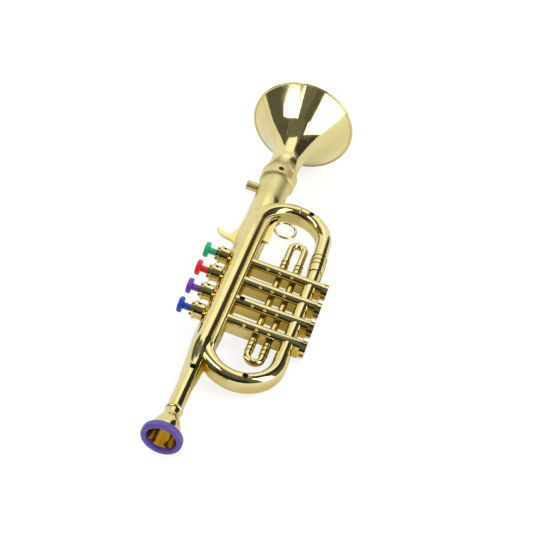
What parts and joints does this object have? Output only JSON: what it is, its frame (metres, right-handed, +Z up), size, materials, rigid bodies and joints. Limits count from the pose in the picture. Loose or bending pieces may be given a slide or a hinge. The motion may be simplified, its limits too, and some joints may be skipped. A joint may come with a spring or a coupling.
{
  "type": "toy trumpet",
  "caption": "Toy trumpet of gold-plated plastic lying on its side, with coloured push keys, a looped tube, a finger hook and a flared bell.",
  "frame": {"origin": "centre of the bounding box on the table plane on which the trumpet lies", "axes": "+X towards the bell, +Y towards the keys' side, +Z up; the trumpet rests on its bell rim, mouthpiece ring and one bottom cap"},
  "size_m": [0.3728, 0.1122, 0.0855],
  "materials": {
    "gold_plate": "mirror-bright pale gold plating on moulded plastic",
    "green_plastic": "gloss",
    "red_plastic": "gloss",
    "purple_plastic": "gloss",
    "blue_plastic": "gloss",
    "violet_ring": "semi-gloss soft plastic",
    "steel": "zinc plated",
    "pad_rubber": "matt",
    "plate_plastic": "moulded",
    "reed_brass": "rolled"
  },
  "bodies": {
    "trumpet": {"front_shell": "gold_plate", "back_shell": "gold_plate", "bell": "gold_plate", "mouthpiece": "gold_plate", "finger_hook": "gold_plate", "finger_ring": "gold_plate", "bell_post": "gold_plate", "top_cap_green": "gold_plate", "top_cap_red": "gold_plate", "top_cap_purple": "gold_plate", "top_cap_blue": "gold_plate", "bottom_cap_green": "gold_plate", "bottom_cap_red": "gold_plate", "bottom_cap_purple": "gold_plate", "bottom_cap_blue": "gold_plate", "mouthpiece_rim": "violet_ring", "body_screws": "steel", "bell_screw": "steel", "plate_screws": "steel", "spring_green": "steel", "spring_red": "steel", "spring_purple": "steel", "spring_blue": "steel", "reed_plate": "plate_plastic", "reeds": "reed_brass"},
    "key_green": {"key_green": "green_plastic", "pad_green": "pad_rubber"},
    "key_red": {"key_red": "red_plastic", "pad_red": "pad_rubber"},
    "key_purple": {"key_purple": "purple_plastic", "pad_purple": "pad_rubber"},
    "key_blue": {"key_blue": "blue_plastic", "pad_blue": "pad_rubber"}
  },
  "joints": [
    {"name": "press_green", "type": "slide", "parent": "trumpet", "child": "key_green", "axis": [0.0235, -0.9644, -0.2632], "range_m": [0, 0.0035], "stiffness_N_per_m": 120, "springref_m": -0.002, "deforming": ["spring_green"]},
    {"name": "press_red", "type": "slide", "parent": "trumpet", "child": "key_red", "axis": [0.0235, -0.9644, -0.2632], "range_m": [0, 0.0035], "stiffness_N_per_m": 120, "springref_m": -0.002, "deforming": ["spring_red"]},
    {"name": "press_purple", "type": "slide", "parent": "trumpet", "child": "key_purple", "axis": [0.0235, -0.9644, -0.2632], "range_m": [0, 0.0035], "stiffness_N_per_m": 120, "springref_m": -0.002, "deforming": ["spring_purple"]},
    {"name": "press_blue", "type": "slide", "parent": "trumpet", "child": "key_blue", "axis": [0.0235, -0.9644, -0.2632], "range_m": [0, 0.0035], "stiffness_N_per_m": 120, "springref_m": -0.002, "deforming": ["spring_blue"]}
  ]
}
